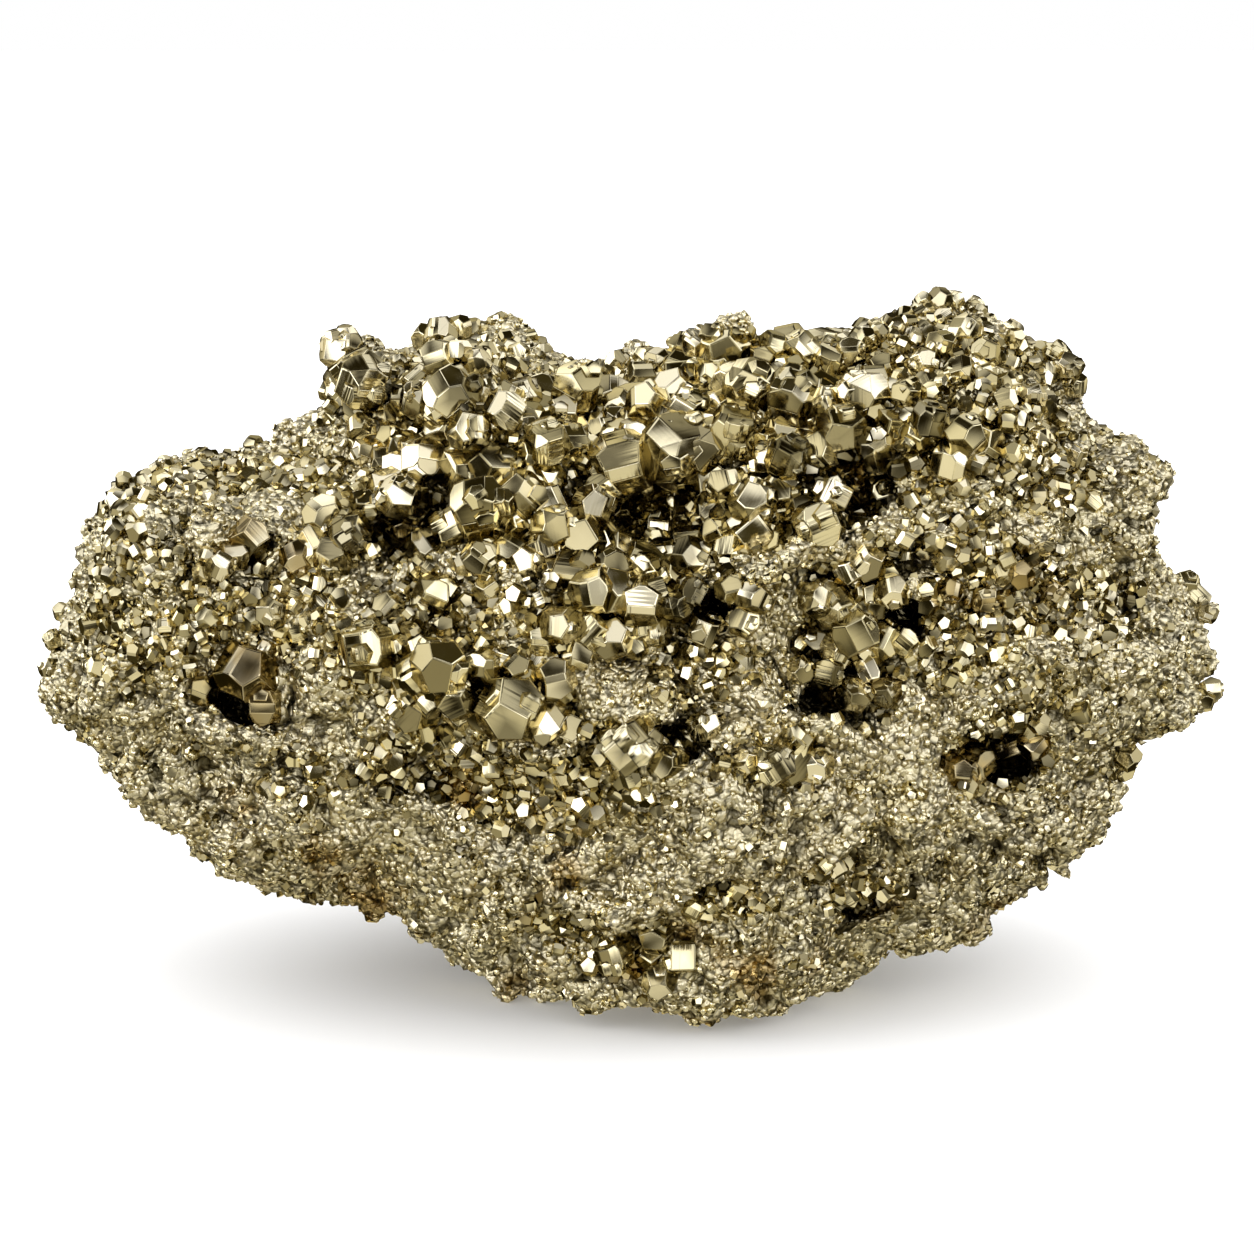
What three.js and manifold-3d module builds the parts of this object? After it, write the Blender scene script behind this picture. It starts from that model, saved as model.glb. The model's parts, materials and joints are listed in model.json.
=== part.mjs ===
// A pyrite specimen: one intergrown lump of brassy crystals that stands on a small flat base.
// Millimetres, +Z up, the front faces -Y, and the origin is on the base under the middle of the lump.
import * as THREE from "three";
import { ConvexGeometry } from "three/addons/geometries/ConvexGeometry.js";
import { ImprovedNoise } from "three/addons/math/ImprovedNoise.js";
import { mergeVertices } from "three/addons/utils/BufferGeometryUtils.js";
import Module from "manifold-3d";

// Driving dimensions of the ground mass, the lump that the crystals grow from.
const WIDTH = 110;
const FRONT_DEPTH = 31;
const BACK_DEPTH = 34;
const CORE_HEIGHT = 31; // the height of the point that the outline and the depths are measured from
const SQUARENESS = 2.4; // 2 is an ellipsoid, and more is boxier
const LEAN = 0.06; // how far the top leans back, for each millimetre of height
const CRYSTAL_COVER = 0.8; // how far the crystals stand proud of the outline
const GROUND_DETAIL = 11; // splits along each edge of the icosahedron

// The ground mass seen from the front, as x and z, anticlockwise from the right tip.
// The low points lie under the base.
const OUTLINE = [
  [54.2, 30], [54, 35.5], [50.2, 39.5], [48.9, 45], [49.2, 49.8], [44.6, 52], [42.2, 55.6], [37.5, 58.4],
  [32.4, 64], [25.8, 61.2], [20.5, 59.2], [15.8, 59.8], [8.4, 58.6], [3.8, 57.4], [-2, 56], [-6.6, 56.8],
  [-11, 58.4], [-16, 59], [-20.2, 55.4], [-25.5, 59.4], [-27.5, 54.4], [-30, 50], [-36, 49], [-46, 48.6],
  [-48.6, 44], [-52.6, 37.6], [-55.2, 31], [-55, 25.4], [-49.6, 21.7], [-44.4, 14.7], [-35.8, 9.9],
  [-28.6, 6.6], [-22, 4.4], [-14.4, 1.6], [-7.8, -1.6], [2.8, -2.6], [14, -3.8], [20.2, -1.4], [24.5, 3.4],
  [30.6, 6.2], [36.4, 9.8], [44.6, 13.6], [46, 18.4], [46.6, 23.4], [52.4, 25.7],
];
const OUTLINE_STEPS = 16; // steps from each point of the outline to the next

// The front is set out as it is seen from a low viewpoint, on a square picture.
// Places there are x and y on the picture.
const PICTURE_SIDE = 1254;
const PICTURE_WIDTH = 116.3; // the width of the picture, in millimetres, at the middle of the lump
const PICTURE_MIDDLE = [-0.2, 0, 32.6];
const EYE_DISTANCE = 330;
const EYE_ELEVATION = 10;

// Lobes and hollows of the front: picture x, picture y, radius, and height above the ground mass.
const FRONT_LOBES = [
  [165, 600, 15, 4], [260, 745, 11, 2.6], [305, 505, 8, 2.5], [350, 385, 5, 2], [470, 375, 10, 4.5],
  [720, 370, 7, 2.5], [620, 610, 10, 3.2], [765, 590, 8, 4], [985, 425, 13, 4.5], [1120, 500, 8, 2.5],
  [1130, 640, 10, 3], [740, 850, 18, 4], [440, 690, 9, 3], [640, 730, 7, 2.5], [330, 830, 10, 2.5],
  [980, 830, 12, 2.4], [380, 630, 8, 2.5], [240, 680, 4, -2], [640, 500, 9, -4], [855, 480, 7, -3.5],
  [420, 560, 6, -2.5], [870, 660, 6, -3], [1010, 770, 7, -3], [300, 770, 7, -2.5], [400, 800, 7, -2.5],
  [190, 775, 7, -2.5], [1090, 765, 6, -2], [930, 560, 6, -2], [870, 905, 8, -2.4],
];

// Lobes and hollows of the sides and the back: heading round the lump, elevation, radius, height.
const BACK_LOBES = [
  [150, 30, 14, 5], [205, 45, 11, 4], [185, -5, 16, 4], [135, -15, 12, 3], [230, 5, 12, 4], [250, 35, 10, 3],
  [115, 20, 11, 3], [170, 75, 9, 3], [165, 12, 8, -4], [215, 22, 7, -3.5], [140, 5, 7, -3], [190, -30, 9, -3],
];

// Knobs all over the ground mass: spacing and height.
const KNOBS = [
  [17, 3.4],
  [8, 2],
];
const KNOB_LEVEL = 0.5; // the furrows between the knobs lie this part of their height below the smooth form

// Open pockets between the crystals of the front: picture x, picture y, width, height, depth.
const POCKETS = [
  [640, 513, 10.5, 4, 9], [853, 486, 6, 4.4, 9], [583, 398, 4.6, 3, 8], [411, 524, 4.8, 3.4, 7],
  [719, 611, 4, 2.8, 6], [826, 697, 4, 2.8, 6], [248, 694, 5, 3.8, 7], [256, 548, 4.4, 2, 5],
  [1003, 762, 4.4, 3, 6], [686, 742, 4, 2.2, 5], [905, 600, 3, 5.4, 6], [862, 906, 6.4, 1.8, 4],
];

// Pockets of the back: heading, elevation, width, height, depth.
const BACK_POCKETS = [
  [165, 14, 7, 4, 8], [213, 24, 6, 4, 7], [140, 4, 5, 4, 7], [192, -28, 6, 4, 6],
];
const POCKET_DETAIL = 1; // splits along each edge of a pocket's icosahedron
const POCKET_MIDDLE = 0.25; // how far in the middle of a pocket lies, as a part of its depth

// Large crystals of the front: picture x, picture y, width across.
const LARGE_CRYSTALS = [
  [363, 382, 4.4], [418, 401, 3.2], [452, 396, 4.6], [470, 431, 3.4], [503, 412, 3.6], [398, 498, 3.4],
  [480, 508, 5], [351, 532, 3.4], [547, 444, 3.4], [572, 441, 3], [553, 528, 3.6], [594, 505, 3.4],
  [576, 388, 4.4], [424, 464, 4], [462, 474, 4.4], [621, 464, 5.6], [677, 452, 6], [704, 449, 4.2],
  [732, 433, 4.8], [793, 399, 4.8], [827, 408, 4], [864, 397, 4.2], [841, 430, 4], [752, 503, 3.8],
  [724, 484, 2.8], [642, 381, 3.2], [730, 346, 5], [757, 364, 2.4], [690, 408, 3.4], [749, 386, 4.2],
  [833, 494, 3], [789, 458, 3.6], [247, 668, 4.2], [510, 711, 5], [439, 667, 4.4], [482, 666, 2.8],
  [457, 699, 3], [221, 566, 2.4], [272, 612, 2.6], [369, 648, 4.2], [853, 630, 4.2], [893, 593, 2.8],
  [829, 672, 2.6], [854, 696, 2.8], [633, 746, 4.6], [776, 764, 3.4], [614, 957, 3.2], [661, 981, 3],
  [592, 592, 3.6], [560, 625, 3], [965, 435, 3.2], [930, 420, 3], [690, 555, 3], [480, 560, 2.8],
];

// Crystals scattered by chance on the front and on the rest: how many, and the headings and elevations.
const SCATTERED = [
  { count: 4, headings: [-80, 80], elevations: [-20, 40] },
  { count: 18, headings: [90, 270], elevations: [-25, 75] },
];
const SCATTERED_WIDTHS = [2.4, 4.4];
const SCATTER_SEED = 7;
const CRYSTAL_RISE = 0.3; // the part of a crystal's radius by which its middle stands off the ground mass
const CRYSTAL_ROOM = 0.45; // how near two scattered crystals may be, as a part of their widths together
const CUBE_EVERY = 4; // one crystal in this many is a cube, and the rest are pyritohedra
const CUBE_SIDE = 0.8; // the side of a cube, as a part of the width of a pyritohedron in its place

const MERGE_DISTANCE = 1e-4; // corners of a mesh that are nearer than this are one corner
const SIGHT_STEP = 0.25; // the step along a line of sight

const wasm = await Module();
wasm.setup();
const noise = new ImprovedNoise();
const core = new THREE.Vector3(0, 0, CORE_HEIGHT);

// A stream of repeatable chance numbers from 0 to 1.
function chanceStream(seed) {
  let state = seed >>> 0;
  return () => {
    state = (state + 0x6d2b79f5) >>> 0;
    let mixed = Math.imul(state ^ (state >>> 15), 1 | state);
    mixed = (mixed + Math.imul(mixed ^ (mixed >>> 7), 61 | mixed)) ^ mixed;
    return ((mixed ^ (mixed >>> 14)) >>> 0) / 4294967296;
  };
}

// The outline as a list of angle and radius about the core, in order of angle.
function outlineRadii() {
  const points = OUTLINE.map(([x, z]) => new THREE.Vector3(x, 0, z - CORE_HEIGHT));
  const curve = new THREE.CatmullRomCurve3(points, true, "centripetal");
  const samples = OUTLINE.length * OUTLINE_STEPS;
  return curve
    .getPoints(samples)
    .slice(0, samples)
    .map((p) => [Math.atan2(p.z, p.x), Math.hypot(p.x, p.z) - CRYSTAL_COVER])
    .sort((a, b) => a[0] - b[0]);
}
const radii = outlineRadii();

function outlineRadius(angle) {
  let high = radii.findIndex(([a]) => a > angle);
  if (high < 0) high = 0;
  const low = (high + radii.length - 1) % radii.length;
  const turn = 2 * Math.PI;
  const span = (radii[high][0] - radii[low][0] + turn) % turn;
  const along = (angle - radii[low][0] + turn) % turn;
  return THREE.MathUtils.lerp(radii[low][1], radii[high][1], along / span);
}

// The smooth form under the lobes: how far it reaches from the core in a direction.
function formRadius(direction) {
  const flat = Math.hypot(direction.x, direction.z);
  const across = flat / outlineRadius(Math.atan2(direction.z, direction.x));
  const through = Math.abs(direction.y) / (direction.y < 0 ? FRONT_DEPTH : BACK_DEPTH);
  return 1 / (across ** SQUARENESS + through ** SQUARENESS) ** (1 / SQUARENESS);
}

function onForm(direction) {
  const point = direction.clone().multiplyScalar(formRadius(direction));
  point.y += LEAN * point.z;
  return point.add(core);
}

function insideForm(point) {
  const offset = point.clone().sub(core);
  offset.y -= LEAN * offset.z;
  return offset.length() < formRadius(offset.clone().normalize());
}

// The line of sight through a place on the picture.
function sightLine(pictureX, pictureY) {
  const tilt = THREE.MathUtils.degToRad(EYE_ELEVATION);
  const ahead = new THREE.Vector3(0, Math.cos(tilt), -Math.sin(tilt));
  const up = new THREE.Vector3(0, Math.sin(tilt), Math.cos(tilt));
  const scale = PICTURE_WIDTH / PICTURE_SIDE;
  const middle = new THREE.Vector3(...PICTURE_MIDDLE);
  const eye = middle.clone().addScaledVector(ahead, -EYE_DISTANCE);
  const target = middle.addScaledVector(up, (PICTURE_SIDE / 2 - pictureY) * scale);
  target.x += (pictureX - PICTURE_SIDE / 2) * scale;
  return new THREE.Ray(eye, target.sub(eye).normalize());
}

// The first place on the smooth form along a line of sight.
function firstOnForm(line) {
  const point = new THREE.Vector3();
  for (let along = EYE_DISTANCE - WIDTH; along < EYE_DISTANCE + WIDTH; along += SIGHT_STEP) {
    if (insideForm(line.at(along, point))) return point;
  }
  throw new Error("a line of sight misses the lump");
}

// The direction from the core for a heading round the lump and an elevation. 0 is the front, and 90 the right.
function headingDirection(heading, elevation) {
  const turn = THREE.MathUtils.degToRad(heading);
  const rise = THREE.MathUtils.degToRad(elevation);
  const flat = Math.cos(rise);
  return new THREE.Vector3(Math.sin(turn) * flat, -Math.cos(turn) * flat, Math.sin(rise));
}

function frontLobe([x, y, radius, height]) {
  return { middle: firstOnForm(sightLine(x, y)), radius, height };
}

function backLobe([heading, elevation, radius, height]) {
  return { middle: onForm(headingDirection(heading, elevation)), radius, height };
}

const lobes = [...FRONT_LOBES.map(frontLobe), ...BACK_LOBES.map(backLobe)];

// How far the lobes, the hollows and the knobs lift a point of the smooth form.
function lift(point) {
  let height = 0;
  for (const lobe of lobes) {
    const share = point.distanceTo(lobe.middle) / lobe.radius;
    if (share < 1) height += lobe.height * (1 - share * share) ** 2;
  }
  for (const [spacing, knobHeight] of KNOBS) {
    const wave = noise.noise(point.x / spacing, point.y / spacing, point.z / spacing);
    height += knobHeight * (2 * Math.abs(wave) - KNOB_LEVEL);
  }
  return height;
}

function groundMass() {
  const geometry = new THREE.IcosahedronGeometry(1, GROUND_DETAIL);
  const stretch = new THREE.Vector3(WIDTH / 2, FRONT_DEPTH, CORE_HEIGHT);
  const place = geometry.attributes.position;
  for (let i = 0; i < place.count; i++) {
    const direction = new THREE.Vector3().fromBufferAttribute(place, i).multiply(stretch).normalize();
    const point = onForm(direction);
    point.addScaledVector(direction, lift(point));
    place.setXYZ(i, point.x, point.y, point.z);
  }
  return geometry;
}

// A closed three.js geometry as a solid that can be joined and cut.
function solidFrom(geometry) {
  const bare = geometry.clone();
  bare.deleteAttribute("normal");
  bare.deleteAttribute("uv");
  const merged = mergeVertices(bare, MERGE_DISTANCE);
  const vertProperties = merged.attributes.position.array;
  const triVerts = new Uint32Array(merged.index.array);
  return new wasm.Manifold(new wasm.Mesh({ numProp: 3, vertProperties, triVerts }));
}

function geometryFrom(solid) {
  const mesh = solid.getMesh();
  return new THREE.BufferGeometry()
    .setAttribute("position", new THREE.BufferAttribute(new Float32Array(mesh.vertProperties), 3))
    .setIndex(new THREE.BufferAttribute(new Uint32Array(mesh.triVerts), 1));
}

// The twelve-faced crystal of pyrite: a cube with a roof on each face.
function pyritohedron(width) {
  const roof = 0.5;
  const high = 1 + roof;
  const ridge = 1 - roof * roof;
  const signs = [-1, 1];
  const corners = [];
  for (const a of signs) {
    for (const b of signs) {
      for (const c of signs) corners.push(new THREE.Vector3(a, b, c));
      corners.push(new THREE.Vector3(0, a * high, b * ridge));
      corners.push(new THREE.Vector3(a * high, b * ridge, 0));
      corners.push(new THREE.Vector3(b * ridge, 0, a * high));
    }
  }
  const scale = width / (2 * high);
  return new ConvexGeometry(corners.map((corner) => corner.multiplyScalar(scale)));
}

function cube(width) {
  const side = width * CUBE_SIDE;
  return new THREE.BoxGeometry(side, side, side);
}

// A crystal turned by chance, with its middle a little above the ground mass.
function crystal(order, width, place, outward, chance) {
  const geometry = order % CUBE_EVERY === CUBE_EVERY - 1 ? cube(width) : pyritohedron(width);
  const [x, y, z, w] = [0, 1, 2, 3].map(() => chance() - 0.5);
  const turn = new THREE.Quaternion(x, y, z, w).normalize();
  const middle = place.clone().addScaledVector(outward, (width / 2) * CRYSTAL_RISE);
  geometry.applyQuaternion(turn);
  geometry.translate(middle.x, middle.y, middle.z);
  return solidFrom(geometry);
}

// An open pocket that runs in along a direction. Its middle lies inside, so that its mouth is narrower.
function pocket(mouth, inward, width, height, depth) {
  const geometry = new THREE.IcosahedronGeometry(0.5, POCKET_DETAIL);
  const length = 2 * depth * (1 - POCKET_MIDDLE);
  const turn = new THREE.Quaternion().setFromUnitVectors(new THREE.Vector3(0, 1, 0), inward);
  const middle = mouth.clone().addScaledVector(inward, depth * POCKET_MIDDLE);
  geometry.scale(width, length, height);
  geometry.applyQuaternion(turn);
  geometry.translate(middle.x, middle.y, middle.z);
  return solidFrom(geometry);
}

const groundGeometry = groundMass();
const groundMesh = new THREE.Mesh(groundGeometry, new THREE.MeshBasicMaterial({ side: THREE.DoubleSide }));

// The first place on the ground mass along a line, and the direction out of the lump there.
function onGround(line) {
  const [hit] = new THREE.Raycaster(line.origin, line.direction).intersectObject(groundMesh);
  if (!hit) return null;
  return { place: hit.point, outward: hit.point.clone().sub(core).normalize() };
}

function fromOutside(heading, elevation) {
  const direction = headingDirection(heading, elevation);
  const origin = core.clone().addScaledVector(direction, 2 * WIDTH);
  return new THREE.Ray(origin, direction.negate());
}

function cutPockets(solid) {
  for (const [x, y, width, height, depth] of POCKETS) {
    const line = sightLine(x, y);
    solid = solid.subtract(pocket(onGround(line).place, line.direction, width, height, depth));
  }
  for (const [heading, elevation, width, height, depth] of BACK_POCKETS) {
    const line = fromOutside(heading, elevation);
    solid = solid.subtract(pocket(onGround(line).place, line.direction, width, height, depth));
  }
  return solid;
}

// The places and widths of the crystals: those set out on the picture, and those scattered by chance.
function crystalPlaces(chance) {
  const places = LARGE_CRYSTALS.map(([x, y, width]) => ({ width, ...onGround(sightLine(x, y)) }));
  const between = ([low, high]) => THREE.MathUtils.lerp(low, high, chance());
  for (const { count, headings, elevations } of SCATTERED) {
    const wanted = places.length + count;
    while (places.length < wanted) {
      const width = THREE.MathUtils.lerp(...SCATTERED_WIDTHS, chance() ** 2);
      const found = onGround(fromOutside(between(headings), between(elevations)));
      const apart = (other) => other.place.distanceTo(found.place) > (other.width + width) * CRYSTAL_ROOM;
      if (found && places.every(apart)) places.push({ width, ...found });
    }
  }
  return places;
}

function growCrystals(solid) {
  const chance = chanceStream(SCATTER_SEED);
  crystalPlaces(chance).forEach(({ width, place, outward }, order) => {
    solid = solid.add(crystal(order, width, place, outward, chance));
  });
  return solid;
}

// Cuts the underside flat, and puts the origin on the base under the middle of the lump.
function standUp(solid) {
  const below = new THREE.BoxGeometry(2 * WIDTH, 2 * WIDTH, WIDTH).translate(0, 0, -WIDTH / 2);
  const geometry = geometryFrom(solid.subtract(solidFrom(below)));
  geometry.computeBoundingBox();
  const middle = geometry.boundingBox.getCenter(new THREE.Vector3());
  return geometry.translate(-middle.x, -middle.y, 0);
}

const pyrite = new THREE.MeshStandardMaterial({ color: 0xb8a873, roughness: 0.28, metalness: 1 });
const cluster = new THREE.Mesh(standUp(growCrystals(cutPockets(solidFrom(groundGeometry)))), pyrite);
cluster.name = "pyrite_cluster";

const specimen = new THREE.Group();
specimen.add(cluster);

export default specimen;
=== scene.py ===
"""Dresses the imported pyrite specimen: its ground mass, crystals and fine druse, and a plain studio."""

import itertools
import json
import math

import bmesh
import bpy
import numpy as np
from mathutils import Matrix, Quaternion, Vector, noise
from mathutils.bvhtree import BVHTree
from mathutils.kdtree import KDTree

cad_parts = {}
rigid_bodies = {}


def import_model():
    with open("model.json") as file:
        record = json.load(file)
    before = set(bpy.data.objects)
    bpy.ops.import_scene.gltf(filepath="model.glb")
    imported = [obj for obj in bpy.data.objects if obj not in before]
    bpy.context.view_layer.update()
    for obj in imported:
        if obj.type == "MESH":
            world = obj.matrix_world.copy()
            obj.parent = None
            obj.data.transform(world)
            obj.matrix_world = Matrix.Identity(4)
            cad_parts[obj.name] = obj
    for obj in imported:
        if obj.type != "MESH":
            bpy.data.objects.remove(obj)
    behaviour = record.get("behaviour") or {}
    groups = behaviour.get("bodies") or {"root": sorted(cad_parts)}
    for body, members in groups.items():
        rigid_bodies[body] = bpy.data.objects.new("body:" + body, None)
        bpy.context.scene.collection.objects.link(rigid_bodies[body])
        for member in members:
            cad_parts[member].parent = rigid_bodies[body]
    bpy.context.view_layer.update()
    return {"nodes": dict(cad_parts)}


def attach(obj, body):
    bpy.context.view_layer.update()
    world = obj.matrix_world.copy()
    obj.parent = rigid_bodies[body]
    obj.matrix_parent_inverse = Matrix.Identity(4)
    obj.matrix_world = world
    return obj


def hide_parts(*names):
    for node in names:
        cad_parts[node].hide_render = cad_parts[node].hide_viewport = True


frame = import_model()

bl_info = {
    "name": "Pyrite specimen",
    "version": (1, 0, 0),
    "blender": (4, 5, 0),
    "location": "View3D > Sidebar > Pyrite",
    "description": "Crystals, druse and finish of a pyrite specimen, and the studio that shows it",
    "category": "Object",
}

MM = 0.001
NODE = "pyrite_cluster"
BODY = "root"

# The picture that the front is set out on: places there are x and y, from the top left corner
PICTURE_SIDE = 1254
PICTURE_WIDTH = 116.3 * MM
PICTURE_MIDDLE = Vector((-0.16, -1.05, 32.6)) * MM
EYE_DISTANCE = 330 * MM
EYE_ELEVATION = math.radians(10)
SIGHT = Vector((0, math.cos(EYE_ELEVATION), -math.sin(EYE_ELEVATION)))
SIGHT_UP = Vector((0, math.sin(EYE_ELEVATION), math.cos(EYE_ELEVATION)))
SENSOR_WIDTH = 36

# The ground mass: how it is meshed, and how its openness and its thin places are found
MERGE_DISTANCE = 0.001 * MM
SMOOTHING = 0.5
SMOOTHING_ROUNDS = 3
NOISE_SEED = 11
RAY_LIFT = 0.05 * MM
OPEN_REACH = 7 * MM
OPEN_RAYS = 14
OPEN_SEED = 3
THIN_REACH = 8 * MM
THIN_SHARE = 0.3
PIT_SPACING = 1.6 * MM
PIT_PATCHES = 9 * MM
HOLLOW_WANDER = 14
HOLLOW_WANDER_SPACING = 2.6 * MM
HOLLOW_SCALE = 1.2
LEAST_COARSENESS = 0.12

# The crystals: how they are set, shaded and told apart
SUNK_SHARE = 0.5
EDGE_SHARE = 0.35
# Painted shade: the most light left on crystals in a hollow, the brown mixed into them, and the light left at
# crystals' feet
SHADED_LIGHT = 0.3
SHADED_BROWN = 0.5
FOOT_LIGHT = 0.4
GOLDEN = 0.618
CUT_LEVEL = 0.1
FORM_PICKS = 997.0

# The studio
FLOOR_HALF = 6.0
SUN_SPREAD = math.radians(140)
SUN_TILT = math.radians(2)
EDGE_TINT = (0.75, 0.68, 0.5, 1)
DIFFUSE_ROOM = (0.06, 0.06, 0.06)
WHITE = (1, 1, 1)

# Large crystals of the front: picture x, picture y, width across in millimetres
LARGE_CRYSTALS = (
    (363, 382, 4.4), (418, 401, 3.2), (452, 396, 4.6), (470, 431, 3.4), (503, 412, 3.6), (398, 498, 3.4),
    (480, 508, 5), (351, 532, 3.4), (547, 444, 3.4), (572, 441, 3), (553, 528, 3.6), (594, 505, 3.4),
    (576, 388, 4.4), (424, 464, 4), (462, 474, 4.4), (621, 464, 5.6), (677, 452, 6), (704, 449, 4.2),
    (732, 433, 4.8), (793, 399, 4.8), (827, 408, 4), (864, 397, 4.2), (841, 430, 4), (752, 503, 3.8),
    (724, 484, 2.8), (642, 381, 3.2), (724, 352, 4.4), (757, 374, 2.2), (690, 408, 3.4), (749, 386, 4.2),
    (833, 494, 3), (789, 458, 3.6), (510, 711, 5), (439, 667, 4.4), (482, 666, 2.8), (457, 699, 3),
    (221, 566, 2.4), (272, 612, 2.6), (369, 648, 4.2), (853, 630, 4.2), (893, 593, 2.8), (902, 612, 2.6),
    (829, 672, 2.6), (854, 696, 2.8), (633, 746, 4.6), (776, 764, 3.4), (614, 957, 3.2), (661, 981, 3),
    (870, 600, 3.2), (838, 648, 3.2), (882, 640, 3.2), (818, 640, 2.8), (870, 670, 2.8), (815, 600, 2.6),
    (690, 735, 3), (704, 727, 2.6), (679, 746, 2.6), (905, 640, 2.6), (835, 608, 3.2), (850, 572, 2.6),
    (800, 670, 2.4), (592, 592, 3.6), (560, 625, 3), (965, 435, 3.2), (930, 420, 3), (690, 555, 3),
    (480, 560, 2.8), (692, 590, 2.6), (730, 588, 2.6), (754, 598, 2.8), (744, 622, 2.6), (706, 630, 2.8),
    (676, 606, 2.4), (772, 346, 2.6), (801, 350, 3), (826, 362, 2.8), (851, 353, 2.6), (882, 366, 2.4),
    (906, 396, 2.8), (940, 345, 2.4), (966, 331, 2.6), (986, 353, 2.4), (1006, 386, 2.6), (960, 373, 2.6),
    (925, 363, 2.4), (1031, 396, 2.4), (1040, 440, 2.2), (1075, 455, 2.2),
)

# Crystals of the front that sit in the shade of a hollow, in the same way. They get a deeper painted shade
# and are browned.
SHADED_CRYSTALS = (
    (247, 672, 5.2), (250, 537, 3.4), (275, 547, 3.4), (297, 558, 2.8), (976, 764, 3), (1012, 750, 3.2),
    (232, 556, 2.6), (836, 690, 3), (1035, 745, 2.6), (955, 770, 2.6), (400, 530, 3), (985, 600, 2.2),
    (1020, 575, 2.2), (950, 590, 2), (205, 690, 2.6), (265, 705, 3), (885, 690, 2.8), (865, 470, 3),
    (840, 465, 2.6), (1052, 590, 2),
)

# Crystals on the outline of the front: picture x, picture y, width across in millimetres
EDGE_CRYSTALS = (
    (340, 352, 3.4), (336, 340, 2.6), (345, 335, 2), (352, 345, 2.2), (425, 338, 2.6), (442, 332, 2.8),
    (458, 328, 2.4), (472, 330, 2.2), (682, 348, 2.6), (697, 342, 2.6), (712, 336, 2.2), (940, 300, 2.2),
    (955, 298, 2), (925, 303, 2), (975, 306, 1.8), (1056, 356, 2.6), (1068, 368, 2.6), (1075, 385, 2),
    (1186, 585, 2.4), (1197, 598, 2.6), (1208, 612, 2), (1210, 690, 2.2), (1204, 700, 2),
    (1128, 757, 2.2), (1122, 770, 2), (54, 640, 1.8), (62, 612, 1.8), (49, 668, 1.8), (632, 357, 2.2),
    (646, 358, 2.2), (619, 362, 2.4), (657, 361, 2.4), (638, 350, 1.8),
)

# Patches of coarser crystals on the front: picture x, picture y, half width, half height, coarseness
COARSE_PATCHES = (
    (450, 430, 110, 85, 1), (560, 440, 110, 75, 1), (670, 430, 110, 70, 1), (770, 420, 100, 65, 1),
    (850, 405, 60, 50, 1), (800, 490, 90, 40, 1), (540, 520, 120, 45, 1), (700, 500, 80, 50, 1),
    (360, 388, 36, 40, 1), (400, 505, 55, 50, 1), (340, 530, 40, 36, 0.8), (455, 685, 85, 58, 1),
    (522, 712, 60, 42, 1), (635, 748, 60, 36, 0.9), (862, 640, 52, 90, 1), (245, 662, 30, 28, 0.9),
    (235, 590, 60, 50, 0.62), (620, 595, 110, 60, 0.9), (440, 600, 75, 45, 0.74), (780, 765, 55, 32, 0.8),
    (560, 800, 120, 45, 0.6), (430, 765, 80, 45, 0.62), (975, 440, 60, 42, 0.85),
    (960, 560, 70, 60, 0.68), (190, 470, 80, 28, 0.55), (945, 640, 80, 55, 0.68),
    (1100, 605, 60, 50, 0.62), (640, 965, 60, 26, 0.75), (555, 930, 60, 26, 0.62),
    (725, 915, 60, 30, 0.58), (940, 330, 60, 36, 0.62), (350, 650, 50, 45, 0.62),
    (1030, 590, 70, 50, 0.66), (1040, 700, 60, 40, 0.5), (300, 470, 50, 30, 0.62),
    (700, 660, 70, 50, 0.58), (1000, 760, 60, 40, 0.6), (860, 890, 60, 30, 0.55),
    (1060, 480, 60, 40, 0.6), (560, 640, 60, 40, 0.8), (300, 780, 60, 30, 0.5), (140, 560, 50, 50, 0.57),
    (120, 640, 50, 60, 0.52), (180, 640, 50, 40, 0.55), (300, 600, 40, 60, 0.6), (110, 490, 50, 30, 0.55),
    (720, 370, 60, 40, 0.95), (640, 385, 60, 36, 0.95), (470, 360, 60, 30, 0.62), (800, 345, 60, 36, 0.8),
    (870, 352, 50, 36, 0.68), (960, 380, 60, 50, 0.72), (1030, 365, 50, 40, 0.62),
    (900, 420, 40, 40, 0.72), (1020, 430, 50, 40, 0.64), (930, 480, 50, 30, 0.6),
)

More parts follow.
